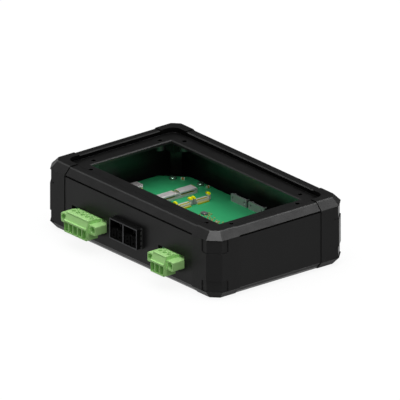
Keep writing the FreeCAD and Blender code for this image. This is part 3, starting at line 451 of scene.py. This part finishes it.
def findBlocks(node):
    # each block of a node as its middle, direction, and length, width and height
    blocks = []
    work = bmesh.new()
    work.from_mesh(node.data)
    bmesh.ops.remove_doubles(work, verts=work.verts, dist=blockSearch["weld"])
    for piece in loosePieces(work):
        level = [edge for vert in piece for edge in vert.link_edges if isLevelEdge(edge)]
        longest = max(level, key=lambda edge: edge.calc_length())
        along = (longest.verts[1].co - longest.verts[0].co).normalized()
        middle = Vector()
        size = []
        for way in (along, Vector((-along.y, along.x, 0)), Vector((0, 0, 1))):
            reach = [vert.co.dot(way) for vert in piece]
            middle += way * (min(reach) + max(reach)) / 2
            size.append(max(reach) - min(reach))
        blocks.append((middle, along, size))
    work.free()
    return blocks


def addBox(shape, middle, along, size, wear):
    # a box that lies along a level direction; wear is the number of its material
    across = Vector((-along.y, along.x, 0))
    first = len(shape["points"])
    for high in (-0.5, 0.5):
        for u, v in ((-0.5, -0.5), (0.5, -0.5), (0.5, 0.5), (-0.5, 0.5)):
            shape["points"].append(middle + along * u * size[0] + across * v * size[1]
                                   + Vector((0, 0, high * size[2])))
    for face in ((3, 2, 1, 0), (4, 5, 6, 7), (0, 1, 5, 4), (1, 2, 6, 5), (2, 3, 7, 6), (3, 0, 4, 7)):
        shape["faces"].append([first + corner for corner in face])
        shape["wear"].append(wear)


def makeSmallParts(name, body, ends):
    shape = {"points": [], "faces": [], "wear": []}
    less = smallParts["bodyShrink"]
    for middle, along, (length, width, height) in findBlocks(nodes[name]):
        endLength = length * smallParts["endShare"]
        bodyLength = length - endLength
        addBox(shape, middle - Vector((0, 0, less / 2)), along,
               (bodyLength, width - less, height - less), 0)
        for side in (-1, 1):
            addBox(shape, middle + along * side * bodyLength / 2, along,
                   (endLength, width, height), 1)
    mesh = bpy.data.meshes.new(name + "Shape")
    mesh.from_pydata(shape["points"], [], shape["faces"])
    mesh.materials.append(body)
    mesh.materials.append(ends)
    for polygon, wear in zip(mesh.polygons, shape["wear"]):
        polygon.material_index = wear
    made = addObject(name + "Shape", mesh)
    rim = made.modifiers.new("rim", "BEVEL")
    rim.width = smallParts["edge"]
    rim.segments = 2
    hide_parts(name)
    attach(made, "housing")


dress("driver_chip", Finish("chipFinish", chipLook).material)
ceramicOf = {name: Finish(name, {**ceramicLook, "colour": colour}).material
             for name, colour in ceramics.items()}
makeSmallParts("capacitors", ceramicOf["ceramicTan"], metalFinishes["solderTin"])
makeSmallParts("output_capacitor", ceramicOf["ceramicGrey"], ceramicOf["padGold"])
makeSmallParts("small_passives", ceramicOf["ceramicGold"], ceramicOf["padGold"])
print("board parts done")

# the paper floor: white to look at, and darker for the light that it throws back
floorLook = {"size": 6.0, "drop": 0.02 * mm, "bounce": 0.28, "shadowShare": 0.12, "glow": 0.9}


def makePaper():
    material = bpy.data.materials.new("studioPaper")
    material.use_nodes = True
    tree = material.node_tree
    tree.nodes.clear()
    bounce = addNode(tree, "ShaderNodeBsdfDiffuse")
    feed(tree, grey(floorLook["bounce"]), bounce.inputs["Color"])
    shadow = addNode(tree, "ShaderNodeBsdfDiffuse")
    feed(tree, grey(floorLook["shadowShare"]), shadow.inputs["Color"])
    glow = addNode(tree, "ShaderNodeEmission")
    feed(tree, floorLook["glow"], glow.inputs["Strength"])
    white = addNode(tree, "ShaderNodeAddShader")
    feed(tree, shadow.outputs[0], white.inputs[0])
    feed(tree, glow.outputs[0], white.inputs[1])
    # seen is 1 for what the camera, a gloss or a clear part sees
    path = addNode(tree, "ShaderNodeLightPath")
    seen = path.outputs["Is Camera Ray"]
    for name in ("Is Glossy Ray", "Is Transmission Ray"):
        seen = worked(tree, "MAXIMUM", seen, path.outputs[name])
    pick = addNode(tree, "ShaderNodeMixShader")
    feed(tree, seen, pick.inputs[0])
    feed(tree, bounce.outputs[0], pick.inputs[1])
    feed(tree, white.outputs[0], pick.inputs[2])
    out = addNode(tree, "ShaderNodeOutputMaterial")
    feed(tree, pick.outputs[0], out.inputs["Surface"])
    return material


def makeFloor():
    half = floorLook["size"] / 2
    corners = [(-half, -half, 0), (half, -half, 0), (half, half, 0), (-half, half, 0)]
    mesh = bpy.data.meshes.new("studioFloor")
    mesh.from_pydata(corners, [], [(0, 1, 2, 3)])
    mesh.materials.append(makePaper())
    floor = addObject("studioFloor", mesh)
    floor.location.z = -floorLook["drop"]


# a soft dome, brightest straight above and dim at the horizon, seen as plain white
worldLook = {"zenith": 2.5, "falloff": 4.0, "horizon": 0.1, "seen": 1.0}


def makeWorld():
    world = bpy.data.worlds.new("studio")
    bpy.context.scene.world = world
    world.use_nodes = True
    tree = world.node_tree
    fill = tree.nodes["Background"]
    feed(tree, grey(1.0), fill.inputs["Color"])
    split = addNode(tree, "ShaderNodeSeparateXYZ")
    feed(tree, addNode(tree, "ShaderNodeTexCoord").outputs["Generated"], split.inputs["Vector"])
    level = worked(tree, "MAXIMUM", split.outputs["Z"], 0.0)
    level = worked(tree, "POWER", level, worldLook["falloff"])
    level = worked(tree, "MULTIPLY", level, worldLook["zenith"])
    level = worked(tree, "ADD", level, worldLook["horizon"])
    path = addNode(tree, "ShaderNodeLightPath")
    level = mixed(tree, path.outputs["Is Camera Ray"], level, worldLook["seen"], "FLOAT")
    feed(tree, level, fill.inputs["Strength"])


# the gloss lamps only make highlights and add no light to the colours
lampFar = 1.2
lamps = {"front": {"way": (-0.25, -1.0, 0.75), "size": 0.8, "watts": 0.5},
         "side": {"way": (1.0, -0.3, 0.6), "size": 0.8, "watts": 0.9},
         "glossTop": {"way": (0.196, -0.332, 0.922), "size": 0.7, "watts": 38.0},
         "glossRight": {"way": (0.373, 0.584, 0.72), "size": 0.7, "watts": 16.5},
         "glossFront": {"way": (-0.76, -0.4, 0.58), "size": 0.6, "watts": 2.9},
         "glossEdge": {"way": (-0.72, 0.208, 0.661), "size": 0.3, "watts": 1.4},
         "glossBack": {"way": (-0.33, 0.584, 0.73), "size": 0.5, "watts": 2.0}}


def aim(made, way):
    # turns a lamp or the camera to look along a direction
    made.rotation_mode = "QUATERNION"
    made.rotation_quaternion = way.to_track_quat("-Z", "Y")


def makeLamps():
    for name, look in lamps.items():
        data = bpy.data.lights.new(name, "AREA")
        data.shape = "DISK"
        data.size = look["size"]
        data.energy = look["watts"]
        lamp = addObject(name, data)
        way = Vector(look["way"]).normalized()
        lamp.location = way * lampFar
        aim(lamp, -way)
        lamp.visible_diffuse = not name.startswith("gloss")


cameraLook = {"azimuth": 50.953, "elevation": 21.908, "width": 216.48 * mm,
              "right": 2.482 * mm, "up": 23.599 * mm, "far": 0.8, "near": 0.01, "end": 20}


def makeCamera():
    around = math.radians(cameraLook["azimuth"])
    rise = math.radians(cameraLook["elevation"])
    right = Vector((math.cos(around), math.sin(around), 0))
    back = Vector((math.sin(around) * math.cos(rise), -math.cos(around) * math.cos(rise),
                   math.sin(rise)))
    up = back.cross(right)
    data = bpy.data.cameras.new("viewCamera")
    data.type = "ORTHO"
    data.ortho_scale = cameraLook["width"]
    data.clip_start = cameraLook["near"]
    data.clip_end = cameraLook["end"]
    camera = addObject("viewCamera", data)
    camera.location = right * cameraLook["right"] + up * cameraLook["up"] + back * cameraLook["far"]
    aim(camera, -back)
    bpy.context.scene.camera = camera


makeFloor()
makeWorld()
makeLamps()
makeCamera()
bpy.context.scene.view_settings.view_transform = "Standard"
print("studio done")
